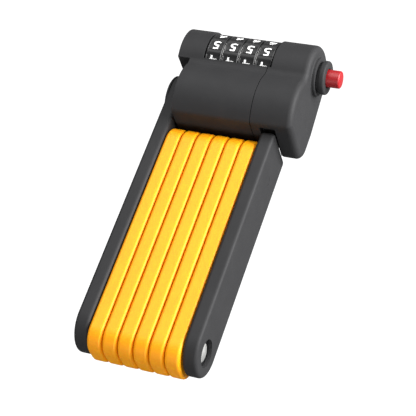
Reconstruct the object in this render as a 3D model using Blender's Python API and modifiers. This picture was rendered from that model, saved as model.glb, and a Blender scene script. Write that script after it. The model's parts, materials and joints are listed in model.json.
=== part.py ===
"""Folding bike lock, folded: six coated steel links between two covered end bars, and a four-dial lock head.

Run it in Blender: blender --background --python part.py, or from the Text Editor. Units are metres, +Z is up.

The drawing frame, before the last step moves everything to the object's own origin, is:
X across the stack of bars (0 is the left face of the first link's layer), Y along the bars from the front hinge
line towards the lock head, Z up from the bars' middle plane. The object's own origin is the middle of its
bounding box at its lowest point.
"""

import math

import bmesh
import bpy
from mathutils import Vector

MM = 0.001

# Bars: layer 0 is the left bar, 1 to 6 are the links, and 7 is the right bar.
LINK_COUNT = 6
LAYER_PITCH = 7.0 * MM
LAYER_GAP = 0.4 * MM
LINK_LENGTH = 89.1 * MM  # from hinge to hinge
SLEEVE_HALF_WIDTH = 11.4 * MM
SLEEVE_END = 11.7 * MM  # from a link's hinge to its tip
SLEEVE_CORNER = 9.0 * MM
SLEEVE_EDGE_ROUND = 2.0 * MM
COVER_HALF_WIDTH = 12.0 * MM
COVER_TIP = 10.4 * MM  # from the front hinge to the covers' round front ends
COVER_CORNER = 1.5 * MM  # of the right bar's squared end
RIGHT_BAR_END = 102.6 * MM  # from the front hinge
COVER_EDGE_ROUND = 1.5 * MM
CORE_THICKNESS = 2.6 * MM
CORE_HALF_WIDTH = 8.8 * MM

# Hinges
RIVET_RADIUS = 3.0 * MM
RIVET_HEAD_RADIUS = 4.2 * MM
RIVET_HEAD_HEIGHT = 1.0 * MM
HINGE_OPENING_RADIUS = 6.0 * MM
WASHER_RADIUS = 5.6 * MM
PIVOT_CAP_RADIUS = 11.4 * MM
PIVOT_CAP_HEIGHT = 1.3 * MM

# Clearances
SEAT_GAP = 0.15 * MM  # faces that bear on each other
RUNNING_GAP = 0.15 * MM  # pins in holes, on the radius
POCKET_GAP = 0.2 * MM  # steel inside its coating
SPLIT_GAP = 0.3 * MM  # seam between the two casings
ROTOR_GAP = 0.25 * MM  # dials in their housing
HEAD_GAP = 1.2 * MM  # links' ends to the head
SIDE_GAP = 0.6 * MM  # left bar, as the head turns on it, to the housing

# Lock head
HEAD_LEFT = 1.0 * MM
CASING_SPLIT = 37.9 * MM
HEAD_WIDTH = 56.0 * MM  # from HEAD_LEFT to the right end face
BODY_WALL = 2.0 * MM
BODY_TOP_RADIUS = 18.3 * MM
BODY_TOP_HEIGHT = 23.5 * MM  # over the bars' middle plane
BODY_TOP_SETBACK = 13.8 * MM
VALLEY_RADIUS = 5.0 * MM  # between the body and the dial housing
FRONT_FOOT_RADIUS = 8.0 * MM
FRONT_BROW_RADIUS = 3.0 * MM
FOOT_LENGTH = 16.0 * MM
PIVOT_SETBACK = 16.6 * MM
CASING_ROUND = 1.2 * MM
END_ROUND = 2.4 * MM  # around the right end face
PIVOT_BLOCK = 5.0 * MM  # thickness of the steel block that the head turns on

# Dials and their housing. Setbacks are from the head's front face, heights from the bars' middle plane.
DIAL_COUNT = 4
DIAL_RADIUS = 12.9 * MM
DIAL_PITCH = 8.0 * MM
DIAL_GAP = 0.5 * MM
DIAL_SETBACK = 35.0 * MM
DIAL_HEIGHT = 8.4 * MM
HOUSING_RADIUS = 15.3 * MM
HOUSING_SETBACK = 34.6 * MM
HOUSING_HEIGHT = 6.2 * MM
HOUSING_OVERHANG = 5.9 * MM  # left of HEAD_LEFT
HOUSING_CUT = 11.0 * MM  # from the pivot to the overhang's flat front
WINDOW_LEFT = 7.2 * MM
WINDOW_FROM, WINDOW_TO = math.radians(5), math.radians(116.4)
HUB_RADIUS = 6.4 * MM
SPINDLE_RADIUS = 2.5 * MM
DIAL_FACETS = 30

# Push button, its collar and its spring
BUTTON_RADIUS = 3.95 * MM
BUTTON_STAND = 6.2 * MM  # out of the collar
BUTTON_TRAVEL = 4.0 * MM
BUTTON_FLANGE_RADIUS = 5.3 * MM
BUTTON_FLANGE_HEIGHT = 1.2 * MM
COLLAR_RADIUS = 7.6 * MM
COLLAR_SPIGOT_RADIUS = 6.5 * MM
COLLAR_HEIGHT = 2.4 * MM
COLLAR_GROOVE = 1.4 * MM
BOSS_RADIUS = 8.7 * MM
BOSS_HEIGHT = 1.6 * MM
SPRING_WIRE_RADIUS = 0.35 * MM
SPRING_TURNS = 5

# Bolt work
TONGUE_HALF_WIDTH = 3.4 * MM
NOTCH_DEPTH = 2.6 * MM
BOLT_RADIUS = 1.6 * MM
BOLT_SETBACK = 3.9 * MM
BOLT_SHORTFALL = 1.9 * MM  # from the bolt's nose to the tongue
NOTCH_SIDE_GAP = 0.45 * MM
NOTCH_END_GAP = 1.3 * MM
NOTCH_TOP_GAP = 2.8 * MM
NOTCH_WALL = 1.6 * MM
PLATE = 1.6 * MM
ARM_HALF_WIDTH = 3.6 * MM
RAIL_WIDTH = 4.8 * MM
SCREW_RADIUS = 1.25 * MM
SCREW_HEAD_RADIUS = 2.4 * MM
SCREW_HEAD_HEIGHT = 0.9 * MM

# Worked out from the values above
LAYER_THICKNESS = LAYER_PITCH - LAYER_GAP
BOTTOM = -COVER_HALF_WIDTH
HEAD_FRONT = LINK_LENGTH + SLEEVE_END + HEAD_GAP
HEAD_RIGHT = HEAD_LEFT + HEAD_WIDTH
PIVOT_Y = HEAD_FRONT + PIVOT_SETBACK
DIAL_Y, DIAL_Z = HEAD_FRONT + DIAL_SETBACK, DIAL_HEIGHT
HOUSING = (HEAD_FRONT + HOUSING_SETBACK, HOUSING_HEIGHT)
HOUSING_LEFT = HEAD_LEFT - HOUSING_OVERHANG
DIALS_LEFT = WINDOW_LEFT + ROTOR_GAP
WINDOW_RIGHT = DIALS_LEFT + DIAL_COUNT * DIAL_PITCH
RIGHT_LAYER = LINK_COUNT + 1
BOSS_FACE = HEAD_RIGHT + BOSS_HEIGHT
COLLAR_FACE = BOSS_FACE + COLLAR_GROOVE + COLLAR_HEIGHT
BUTTON_TIP = COLLAR_FACE + BUTTON_STAND
BOLT_Y = HEAD_FRONT + BOLT_SETBACK
TONGUE_TIP = BOLT_Y + TONGUE_HALF_WIDTH
SLOT_BACK = TONGUE_TIP + NOTCH_END_GAP
SLIDER_Y = SLOT_BACK + NOTCH_WALL + SPLIT_GAP + PLATE
RAIL_Y = SLOT_BACK + NOTCH_WALL + SPLIT_GAP + ARM_HALF_WIDTH
RAIL_TOP = BOTTOM + BODY_WALL + 0.6 * MM + PLATE

COLOURS = {
    "black_plastic": ((0.035, 0.035, 0.036), 0.55, 0.0),
    "yellow_coating": ((0.95, 0.62, 0.03), 0.5, 0.0),
    "red_plastic": ((0.75, 0.02, 0.03), 0.35, 0.0),
    "bright_steel": ((0.75, 0.75, 0.76), 0.28, 1.0),
    "dark_steel": ((0.25, 0.25, 0.26), 0.45, 1.0),
    "dial_plastic": ((0.02, 0.02, 0.021), 0.4, 0.0),
}


def layer_middle(layer):
    return (layer - 0.5) * LAYER_PITCH


def clear_scene():
    for old in list(bpy.data.objects):
        bpy.data.objects.remove(old, do_unlink=True)


def new_collection(name):
    made = bpy.data.collections.new(name)
    bpy.context.scene.collection.children.link(made)
    return made


def new_material(name):
    colour, roughness, metallic = COLOURS[name]
    made = bpy.data.materials.new(name)
    made.use_nodes = True
    shader = made.node_tree.nodes["Principled BSDF"]
    shader.inputs["Base Color"].default_value = (*colour, 1)
    shader.inputs["Roughness"].default_value = roughness
    shader.inputs["Metallic"].default_value = metallic
    return made


clear_scene()
parts = new_collection("folding_bike_lock")
cutters = new_collection("cutters")
cutters.hide_render = True
materials = {name: new_material(name) for name in COLOURS}
bodies = {}


def add_body(name, y, z, x=0.0):
    """An empty on the body's joint axis, which all of the body's pieces are parented to."""
    empty = bpy.data.objects.new(name + "_axis", None)
    empty.location = (x, y, z)
    empty.empty_display_size = 5 * MM
    parts.objects.link(empty)
    bodies[name] = empty


# Every shape is drawn in a flat frame whose first axis is Y, second is Z and third is X, across the stack.
ACROSS = (math.pi / 2, 0, math.pi / 2)


def add_object(name, mesh, body=None, material=None, y=0.0, z=0.0, x=0.0):
    """A mesh drawn about (y, z, x), as a part of a body or, with no body, as a cutter."""
    made = bpy.data.objects.new(name, mesh)
    made.rotation_euler = ACROSS
    if body is None:
        cutters.objects.link(made)
        made.hide_render = True
        made.display_type = "WIRE"
        made.location = (x, y, z)
        return made
    parts.objects.link(made)
    made.parent = bodies[body]
    made.location = Vector((x, y, z)) - bodies[body].location
    mesh.materials.append(materials[material])
    return made


def shade(made, degrees=35):
    made.data.shade_smooth()
    made.data.set_sharp_from_angle(angle=math.radians(degrees))
    return made


def arc(middle, radius, start, end, steps):
    """Points on an arc, both ends included; angles in radians from +Y towards +Z."""
    turns = [start + (end - start) * i / steps for i in range(steps + 1)]
    return [(middle[0] + radius * math.cos(t), middle[1] + radius * math.sin(t)) for t in turns]


def stadium(length, half_width, steps=10, start=0.0):
    """A bar's outline, with round ends about (start, 0) and (length, 0)."""
    front = arc((start, 0), half_width, math.pi / 2, 3 * math.pi / 2, steps)
    back = arc((length, 0), half_width, -math.pi / 2, math.pi / 2, steps)
    return front + back


def sleeve_outline():
    """A link's outline: its ends are squarer than a half circle."""
    y, z = SLEEVE_END - SLEEVE_CORNER, SLEEVE_HALF_WIDTH - SLEEVE_CORNER
    corners = ((-y, z), (-y, -z), (LINK_LENGTH + y, -z), (LINK_LENGTH + y, z))
    outline = []
    for quarter, corner in enumerate(corners, 1):
        outline += arc(corner, SLEEVE_CORNER, quarter * math.pi / 2, (quarter + 1) * math.pi / 2, 5)
    return outline


def rectangle(y_low, z_low, y_high, z_high):
    return [(y_low, z_low), (y_high, z_low), (y_high, z_high), (y_low, z_high)]


def prism_mesh(name, outline, low, high):
    """A flat outline as a filled 2D curve, extruded from low to high across the stack, and made a mesh."""
    curve = bpy.data.curves.new(name, "CURVE")
    curve.dimensions = "2D"
    curve.fill_mode = "BOTH"
    curve.extrude = (high - low) / 2
    spline = curve.splines.new("POLY")
    spline.points.add(len(outline) - 1)
    for point, (y, z) in zip(spline.points, outline):
        point.co = (y, z, 0, 1)
    spline.use_cyclic_u = True
    guide = bpy.data.objects.new(name, curve)
    bpy.context.scene.collection.objects.link(guide)
    graph = bpy.context.evaluated_depsgraph_get()
    mesh = bpy.data.meshes.new_from_object(guide.evaluated_get(graph))
    mesh.name = name
    bpy.data.objects.remove(guide, do_unlink=True)
    bpy.data.curves.remove(curve)
    work = bmesh.new()
    work.from_mesh(mesh)
    bmesh.ops.remove_doubles(work, verts=work.verts, dist=1e-7)
    bmesh.ops.translate(work, verts=work.verts, vec=(0, 0, (low + high) / 2))
    bmesh.ops.recalc_face_normals(work, faces=work.faces)
    work.to_mesh(mesh)
    work.free()
    mesh.materials.clear()
    return mesh


def prism(name, outline, low, high, body=None, material=None, y=0.0, z=0.0):
    """A flat outline about (y, z), between two places across the stack."""
    return add_object(name, prism_mesh(name, outline, low, high), body, material, y, z)


def disc(name, radius, low, high, body=None, material=None, y=0.0, z=0.0, sides=24):
    """A cylinder across the stack."""
    mesh = bpy.data.meshes.new(name)
    work = bmesh.new()
    bmesh.ops.create_cone(
        work, cap_ends=True, segments=sides, radius1=radius, radius2=radius, depth=high - low
    )
    bmesh.ops.translate(work, verts=work.verts, vec=(0, 0, (low + high) / 2))
    work.to_mesh(mesh)
    work.free()
    return add_object(name, mesh, body, material, y, z)


def turned(name, profile, body, material, y=0.0, z=0.0, sides=20):
    """A piece turned about the X direction through (y, z). The profile lists (x, radius), right end first."""
    mesh = bpy.data.meshes.new(name)
    mesh.from_pydata([(radius, 0, x) for x, radius in profile], [(i, i + 1) for i in range(len(profile) - 1)], [])
    made = add_object(name, mesh, body, material, y, z)
    spin = made.modifiers.new("turn", "SCREW")
    spin.steps = spin.render_steps = sides
    spin.use_merge_vertices = True
    spin.merge_threshold = 0.00001
    spin.use_smooth_shade = True
    return made


def turned_ring(name, profile, body, material, y=0.0, z=0.0, sides=20):
    """The same for a piece with a bore: the profile runs down the outside and comes back up the bore."""
    return turned(name, profile + profile[:1], body, material, y, z, sides)


def bevel(made, width, segments=2):
    edge = made.modifiers.new("edge", "BEVEL")
    edge.width = width
    edge.segments = segments
    edge.limit_method = "ANGLE"
    edge.angle_limit = math.radians(40)


def boolean(made, other, operation="DIFFERENCE"):
    step = made.modifiers.new(operation.lower() + "_" + other.name, "BOOLEAN")
    step.operation = operation
    step.object = other
    step.solver = "EXACT"


def cut_disc(made, radius, low, high, y, z, sides=24):
    boolean(made, disc(made.name + "_hole", radius, low, high, y=y, z=z, sides=sides))


def cut_prism(made, outline, low, high, y=0.0, z=0.0):
    boolean(made, prism(made.name + "_cut", outline, low, high, y=y, z=z))


def join_prism(made, outline, low, high, y=0.0, z=0.0):
    boolean(made, prism(made.name + "_more", outline, low, high, y=y, z=z), "UNION")


# ---------------------------------------------------------------- bars


def add_core(name, body, layer, length, far_hole):
    """The steel inside a bar, with a hole at each hinge."""
    middle = layer_middle(layer)
    low, high = middle - CORE_THICKNESS / 2, middle + CORE_THICKNESS / 2
    core = prism(name, stadium(length, CORE_HALF_WIDTH, 8), low, high, body, "dark_steel")
    hole = RIVET_RADIUS + RUNNING_GAP
    for y in (0.0, length) if far_hole else (0.0,):
        cut_disc(core, hole, low - MM, high + MM, y, 0.0)
    return core


def add_jacket(name, body, material, layer, length, outline, edge_round, openings):
    """A bar's coating or cover, hollow for its steel core. Openings lists (y, from, to) across the layer."""
    middle = layer_middle(layer)
    low, high = middle - LAYER_THICKNESS / 2, middle + LAYER_THICKNESS / 2
    jacket = prism(name, outline, low, high, body, material)
    bevel(jacket, edge_round)
    pocket = CORE_THICKNESS / 2 + POCKET_GAP
    cut_prism(jacket, stadium(length, CORE_HALF_WIDTH + POCKET_GAP, 8), middle - pocket, middle + pocket)
    for y, first, last in openings:
        cut_disc(jacket, HINGE_OPENING_RADIUS, first, last, y, 0.0, sides=16)
    return shade(jacket)


def through(layer):
    """From outside one face of a layer to outside the other."""
    return layer_middle(layer) - LAYER_PITCH, layer_middle(layer) + LAYER_PITCH


def add_link(number):
    body = f"link_{number}"
    add_core(f"link_core_{number}", body, number, LINK_LENGTH, True)
    openings = [(0.0, *through(number)), (LINK_LENGTH, *through(number))]
    shape = LINK_LENGTH, sleeve_outline(), SLEEVE_EDGE_ROUND
    add_jacket(f"link_sleeve_{number}", body, "yellow_coating", number, *shape, openings)


def add_left_bar():
    add_core("left_bar_core", "left_bar", 0, PIVOT_Y, True)
    openings = [(0.0, *through(0)), (PIVOT_Y, *through(0))]
    outline = stadium(PIVOT_Y, COVER_HALF_WIDTH, 12, COVER_HALF_WIDTH - COVER_TIP)
    shape = PIVOT_Y, outline, COVER_EDGE_ROUND
    add_jacket("left_bar_cover", "left_bar", "black_plastic", 0, *shape, openings)
    face = layer_middle(0) - LAYER_THICKNESS / 2 - SEAT_GAP
    spigot = HINGE_OPENING_RADIUS - SEAT_GAP * 2
    cap = [
        (face + SEAT_GAP, 0),
        (face + SEAT_GAP, spigot),
        (face, spigot),
        (face, PIVOT_CAP_RADIUS),
        (face - PIVOT_CAP_HEIGHT / 2, PIVOT_CAP_RADIUS),
        (face - PIVOT_CAP_HEIGHT, PIVOT_CAP_RADIUS - PIVOT_CAP_HEIGHT / 2),
        (face - PIVOT_CAP_HEIGHT, 0),
    ]
    turned("pivot_cap", cap, "left_bar", "black_plastic", PIVOT_Y, 0.0, sides=28)


def add_right_bar():
    middle = layer_middle(RIGHT_LAYER)
    core = add_core("right_bar_core", "right_bar", RIGHT_LAYER, LINK_LENGTH, False)
    half = CORE_THICKNESS / 2
    tongue = stadium(BOLT_Y - LINK_LENGTH, TONGUE_HALF_WIDTH, 8)
    join_prism(core, tongue, middle - half, middle + half, y=LINK_LENGTH)
    eye = BOLT_RADIUS + 2 * RUNNING_GAP
    cut_disc(core, eye, middle - CORE_THICKNESS, middle + CORE_THICKNESS, BOLT_Y, 0.0, sides=16)
    top_corner = (RIGHT_BAR_END - COVER_CORNER, COVER_HALF_WIDTH - COVER_CORNER)
    front = (COVER_HALF_WIDTH - COVER_TIP, 0)
    outline = arc(front, COVER_HALF_WIDTH, math.pi / 2, 3 * math.pi / 2, 12)
    outline += arc((LINK_LENGTH, 0), COVER_HALF_WIDTH, -math.pi / 2, 0, 6)
    outline += arc(top_corner, COVER_CORNER, 0, math.pi / 2, 3)
    shape = LINK_LENGTH, outline, COVER_EDGE_ROUND
    openings = [(0.0, *through(RIGHT_LAYER))]
    cover = add_jacket("right_bar_cover", "right_bar", "black_plastic", RIGHT_LAYER, *shape, openings)
    slot = TONGUE_HALF_WIDTH + POCKET_GAP
    pocket = half + POCKET_GAP
    mouth = rectangle(LINK_LENGTH, -slot, LINK_LENGTH + 2 * COVER_HALF_WIDTH, slot)
    cut_prism(cover, mouth, middle - pocket, middle + pocket)


def add_rivet(name, body, y, left_face, right_face):
    """A rivet through two steel faces, with a low domed head at each end."""
    right = right_face + SEAT_GAP
    left = left_face - SEAT_GAP
    crown = RIVET_HEAD_RADIUS * 0.72
    lip = RIVET_HEAD_HEIGHT * 0.45
    profile = [
        (right + RIVET_HEAD_HEIGHT, 0),
        (right + RIVET_HEAD_HEIGHT, crown),
        (right + lip, RIVET_HEAD_RADIUS),
        (right, RIVET_HEAD_RADIUS),
        (right, RIVET_RADIUS),
        (left, RIVET_RADIUS),
        (left, RIVET_HEAD_RADIUS),
        (left - lip, RIVET_HEAD_RADIUS),
        (left - RIVET_HEAD_HEIGHT, crown),
        (left - RIVET_HEAD_HEIGHT, 0),
    ]
    turned(name, profile, body, "bright_steel", y, 0.0, sides=16)


def add_washer(name, body, y, left_face, right_face):
    low, high = left_face + SEAT_GAP, right_face - SEAT_GAP
    bore = RIVET_RADIUS + RUNNING_GAP
    profile = [(high, bore), (high, WASHER_RADIUS), (low, WASHER_RADIUS), (low, bore)]
    turned_ring(name, profile, body, "bright_steel", y, 0.0, sides=16)


def add_hinges():
    """One rivet and washer between each bar and the next, at the front and the back in turn."""
    half = CORE_THICKNESS / 2
    for lower in range(RIGHT_LAYER):
        y = 0.0 if lower % 2 == 0 else LINK_LENGTH
        body = "right_bar" if lower == LINK_COUNT else f"link_{lower + 1}"
        left, right = layer_middle(lower), layer_middle(lower + 1)
        add_rivet(f"hinge_rivet_{lower + 1}", body, y, left - half, right + half)
        add_washer(f"hinge_washer_{lower + 1}", body, y, left + half, right - half)
    core_face = layer_middle(0) + half
    block_face = HEAD_LEFT + BODY_WALL + POCKET_GAP + PIVOT_BLOCK
    add_rivet("head_rivet", "left_bar", PIVOT_Y, layer_middle(0) - half, block_face)
    add_washer("head_washer", "left_bar", PIVOT_Y, core_face, HEAD_LEFT)
    return block_face


# ---------------------------------------------------------------- lock head


def bearing(start, end):
    """The direction from one point to another, in radians from +Y towards +Z."""
    return math.atan2(end[1] - start[1], end[0] - start[0])


def circle_crossing(first, first_radius, second, second_radius):
    """The upper of the two points where two circles cross."""
    dy, dz = second[0] - first[0], second[1] - first[1]
    apart = math.hypot(dy, dz)
    along = (apart**2 + first_radius**2 - second_radius**2) / (2 * apart)
    aside = math.sqrt(first_radius**2 - along**2)
    y = first[0] + (dy * along - dz * aside) / apart
    z = first[1] + (dz * along + dy * aside) / apart
    return y, z


def head_outline(inset=0.0):
    """The head's section, seen along the stack: a round-topped body, a valley and the dials' round housing."""
    front, bottom = HEAD_FRONT + inset, BOTTOM + inset
    body = (HEAD_FRONT + BODY_TOP_SETBACK, BODY_TOP_HEIGHT - BODY_TOP_RADIUS)
    body_radius, housing_radius = BODY_TOP_RADIUS - inset, HOUSING_RADIUS - inset
    valley_radius = VALLEY_RADIUS + inset
    foot, brow = FRONT_FOOT_RADIUS - inset, max(FRONT_BROW_RADIUS - inset, 0.6 * MM)
    outline = arc((front + foot, bottom + foot), foot, math.pi, 1.5 * math.pi, 5)
    heel = (HEAD_FRONT + FOOT_LENGTH, bottom)
    outline.append(heel)
    reach = math.dist(HOUSING, heel)
    rise = bearing(heel, HOUSING) - math.asin(housing_radius / reach)
    valley = circle_crossing(body, body_radius + valley_radius, HOUSING, housing_radius + valley_radius)
    outline += arc(HOUSING, housing_radius, rise - math.pi / 2, bearing(HOUSING, valley), 16)
    valley_start, valley_end = bearing(valley, HOUSING), bearing(valley, body) - 2 * math.pi
    outline += arc(valley, valley_radius, valley_start, valley_end % (2 * math.pi) - 2 * math.pi, 5)[1:]
    brow_y = front + brow
    brow_z = body[1] + math.sqrt((body_radius - brow) ** 2 - (brow_y - body[0]) ** 2)
    brow_bearing = bearing(body, (brow_y, brow_z))
    outline += arc(body, body_radius, bearing(body, valley), brow_bearing, 8)[1:]
    outline += arc((brow_y, brow_z), brow, brow_bearing, math.pi, 3)[1:]
    return outline


def cut_notch(made, wall=0.0):
    """The notch for the right bar's end, and the slot behind it for its tongue. With a wall, their lining."""
    notch = (HEAD_FRONT + NOTCH_DEPTH, COVER_HALF_WIDTH + NOTCH_TOP_GAP, LAYER_THICKNESS / 2)
    slot = (SLOT_BACK, TONGUE_HALF_WIDTH + NOTCH_TOP_GAP, CORE_THICKNESS / 2)
    for back, top, half in (notch, slot):
        shape = rectangle(HEAD_FRONT - 5 * MM, BOTTOM - 5 * MM, back + wall, top + wall)
        reach = half + NOTCH_SIDE_GAP + wall
        cut_prism(made, shape, layer_middle(RIGHT_LAYER) - reach, layer_middle(RIGHT_LAYER) + reach)


def cut_window(casing):
    """Room for the dials, and the window that shows them."""
    low, high = WINDOW_LEFT, WINDOW_RIGHT + ROTOR_GAP
    cut_disc(casing, DIAL_RADIUS + ROTOR_GAP, low, high, DIAL_Y, DIAL_Z, sides=36)
    window = [(0.0, 0.0)] + arc((0, 0), 2 * HOUSING_RADIUS, WINDOW_FROM, WINDOW_TO, 4)
    cut_prism(casing, window, low, high, y=DIAL_Y, z=DIAL_Z)


def add_left_casing():
    past = CASING_SPLIT + 5 * MM
    seam = CASING_SPLIT - SPLIT_GAP / 2
    casing = prism("left_casing", head_outline(), HOUSING_LEFT, past, "head", "black_plastic")
    cut_prism(casing, rectangle(0, -0.1, PIVOT_Y + HOUSING_CUT, 0.1), HOUSING_LEFT - MM, HEAD_LEFT)
    bevel(casing, CASING_ROUND)
    sweep = COVER_HALF_WIDTH + SIDE_GAP
    cut_disc(casing, sweep, HOUSING_LEFT - MM, HEAD_LEFT, PIVOT_Y, 0.0, sides=32)
    cut_prism(casing, rectangle(PIVOT_Y, -0.1, PIVOT_Y + sweep, 0), HOUSING_LEFT - MM, HEAD_LEFT)
    cut_prism(casing, rectangle(0, -0.1, 0.3, 0.1), seam, past + MM)
    cut_prism(casing, head_outline(BODY_WALL), HEAD_LEFT + BODY_WALL, past)
    cut_window(casing)
    bore = SPINDLE_RADIUS + 2 * RUNNING_GAP
    cut_disc(casing, bore, HOUSING_LEFT + BODY_WALL, past, DIAL_Y, DIAL_Z, sides=16)
    pivot = RIVET_RADIUS + 2 * RUNNING_GAP
    cut_disc(casing, pivot, HEAD_LEFT - MM, HEAD_LEFT + BODY_WALL + MM, PIVOT_Y, 0.0, sides=20)
    return shade(casing)


def add_right_casing():
    past = CASING_SPLIT - 5 * MM
    seam = CASING_SPLIT + SPLIT_GAP / 2
    casing = prism("right_casing", head_outline(), past, HEAD_RIGHT, "head", "black_plastic")
    bevel(casing, END_ROUND, 3)
    boss = disc("boss", BOSS_RADIUS, HEAD_RIGHT - MM, BOSS_FACE, y=DIAL_Y, z=DIAL_Z, sides=28)
    bevel(boss, BOSS_HEIGHT * 0.4)
    boolean(casing, boss, "UNION")
    cut_prism(casing, rectangle(0, -0.1, 0.3, 0.1), past - MM, seam)
    hollow = prism("hollow", head_outline(BODY_WALL), past, HEAD_RIGHT - BODY_WALL)
    cut_notch(hollow, NOTCH_WALL)
    boolean(casing, hollow)
    cut_notch(casing)
    bolt = BOLT_RADIUS + 2 * RUNNING_GAP
    cut_disc(casing, bolt, CASING_SPLIT, layer_middle(RIGHT_LAYER), BOLT_Y, 0.0, sides=16)
    cut_window(casing)
    collar = COLLAR_SPIGOT_RADIUS + SEAT_GAP
    cut_disc(casing, collar, HEAD_RIGHT - 2 * BODY_WALL, BOSS_FACE + MM, DIAL_Y, DIAL_Z)
    return shade(casing)


def join_arm(made, start, end, low, high, half_width=ARM_HALF_WIDTH):
    """Joins a plate with round ends, about two (y, z) points, to a piece."""
    dy, dz = end[0] - start[0], end[1] - start[1]
    outline = stadium(math.hypot(dy, dz), half_width, 6)
    plate = prism(made.name + "_arm", outline, low, high, y=start[0], z=start[1])
    plate.rotation_euler = (ACROSS[0], -math.atan2(dz, dy), ACROSS[2])
    boolean(made, plate, "UNION")


def add_lock_frame(block_face):
    """A rail along the head's floor, with an upright at each end for the spindle and a block for the pivot."""
    left = HEAD_LEFT + BODY_WALL + POCKET_GAP
    right = layer_middle(RIGHT_LAYER) + LAYER_THICKNESS / 2
    rail = rectangle(RAIL_Y - RAIL_WIDTH / 2, RAIL_TOP - PLATE, RAIL_Y + RAIL_WIDTH / 2, RAIL_TOP)
    frame = prism("lock_frame", rail, left, right, "head", "dark_steel")
    foot = (RAIL_Y, RAIL_TOP - PLATE / 2 + ARM_HALF_WIDTH)
    for low in (left, right - PLATE):
        join_arm(frame, (DIAL_Y, DIAL_Z), foot, low, low + PLATE)
    eye = RIVET_RADIUS + PLATE
    join_arm(frame, (PIVOT_Y, 0), (RAIL_Y, RAIL_TOP - PLATE / 2 + eye), left, block_face, eye)
    spindle = SPINDLE_RADIUS + RUNNING_GAP
    cut_disc(frame, spindle, left - MM, right + MM, DIAL_Y, DIAL_Z, sides=20)
    pivot = RIVET_RADIUS + RUNNING_GAP
    cut_disc(frame, pivot, left - MM, block_face + MM, PIVOT_Y, 0.0)
    return left, right


def add_screws():
    """Screws up through the casings' floor into the rail."""
    wall = BOTTOM + BODY_WALL
    seat = BOTTOM + 0.1 * MM + SCREW_HEAD_HEIGHT
    casings = {"left_casing": (14 * MM, 30 * MM), "right_casing": (layer_middle(RIGHT_LAYER) - MM,)}
    frame = bpy.data.objects["lock_frame"]
    number = 0
    for casing, places in casings.items():
        for x in places:
            number += 1
            up = dict(x=x, y=RAIL_Y)
            clear = 2 * RUNNING_GAP
            head_room = (SCREW_HEAD_RADIUS + clear, BOTTOM - MM, seat + SEAT_GAP)
            cut_upright(bpy.data.objects[casing], *head_room, **up)
            cut_upright(bpy.data.objects[casing], SCREW_RADIUS + clear, BOTTOM, wall + 3 * MM, **up)
            cut_upright(frame, SCREW_RADIUS + RUNNING_GAP, BOTTOM, RAIL_TOP + 3 * MM, **up)
            screw = upright(f"casing_screw_{number}", SCREW_RADIUS, seat - MM / 2, RAIL_TOP + MM, 12, **up)
            keep(screw, "head", "bright_steel")
            head = upright(screw.name + "_head", SCREW_HEAD_RADIUS, seat - SCREW_HEAD_HEIGHT, seat, 16, **up)
            boolean(screw, head, "UNION")


def upright(name, radius, low, high, sides, x, y):
    """A cylinder along Z, as a cutter."""
    made = disc(name, radius, low, high, sides=sides)
    made.rotation_euler = (0, 0, 0)
    made.location = (x, y, 0)
    return made


def cut_upright(made, radius, low, high, x, y):
    boolean(made, upright(made.name + "_screw_hole", radius, low, high, 16, x, y))


def keep(made, body, material):
    """Turns a cutter into a part of a body."""
    cutters.objects.unlink(made)
    parts.objects.link(made)
    made.hide_render = False
    made.display_type = "TEXTURED"
    made.parent = bodies[body]
    made.location = made.location - bodies[body].location
    made.data.materials.append(materials[material])


def add_dials():
    inner = HUB_RADIUS + SEAT_GAP * 2
    rim = DIAL_RADIUS - 0.8 * MM
    edge = 0.7 * MM
    for number in range(1, DIAL_COUNT + 1):
        body = f"dial_{number}"
        low = DIALS_LEFT + (number - 1) * DIAL_PITCH + DIAL_GAP / 2
        high = low + DIAL_PITCH - DIAL_GAP
        profile = [
            (high, inner),
            (high, rim),
            (high - edge, DIAL_RADIUS),
            (low + edge, DIAL_RADIUS),
            (low, rim),
            (low, inner),
        ]
        turned_ring(f"dial_{number}", profile, body, "dial_plastic", DIAL_Y, DIAL_Z, DIAL_FACETS)
        bore = SPINDLE_RADIUS + 2 * RUNNING_GAP
        hub = disc(f"dial_hub_{number}", HUB_RADIUS, low, high, body, "bright_steel", DIAL_Y, DIAL_Z, 20)
        cut_disc(hub, bore, low - MM, high + MM, DIAL_Y, DIAL_Z, sides=16)
        gate = rectangle(-1.0 * MM, HUB_RADIUS - 1.4 * MM, 1.0 * MM, HUB_RADIUS + MM)
        cut_prism(hub, gate, low + MM, high + MM, y=DIAL_Y, z=DIAL_Z)


def add_detent_spring():
    """A thin comb on the rail, one finger bearing on each dial."""
    base, leaf = RAIL_TOP + SEAT_GAP, 0.5 * MM
    turn = math.radians(222)
    reach = DIAL_RADIUS + SEAT_GAP
    tip = (DIAL_Y + reach * math.cos(turn), DIAL_Z + reach * math.sin(turn))
    front, bend = RAIL_Y + SCREW_RADIUS + 2 * RUNNING_GAP, RAIL_Y + RAIL_WIDTH
    strip = [
        (front, base),
        (bend + leaf / 2, base),
        (tip[0] + leaf, tip[1] - leaf),
        tip,
        (bend - leaf / 2, base + leaf),
        (front, base + leaf),
    ]
    low, high = DIALS_LEFT + DIAL_PITCH / 2, CASING_SPLIT - 2 * DIAL_GAP
    comb = prism("detent_spring", strip, low, high, "head", "bright_steel")
    for gap in range(1, DIAL_COUNT):
        x = DIALS_LEFT + gap * DIAL_PITCH
        cut_prism(comb, rectangle(bend - MM, base - MM, DIAL_Y, DIAL_Z), x - 0.8 * MM, x + 0.8 * MM)


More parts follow.
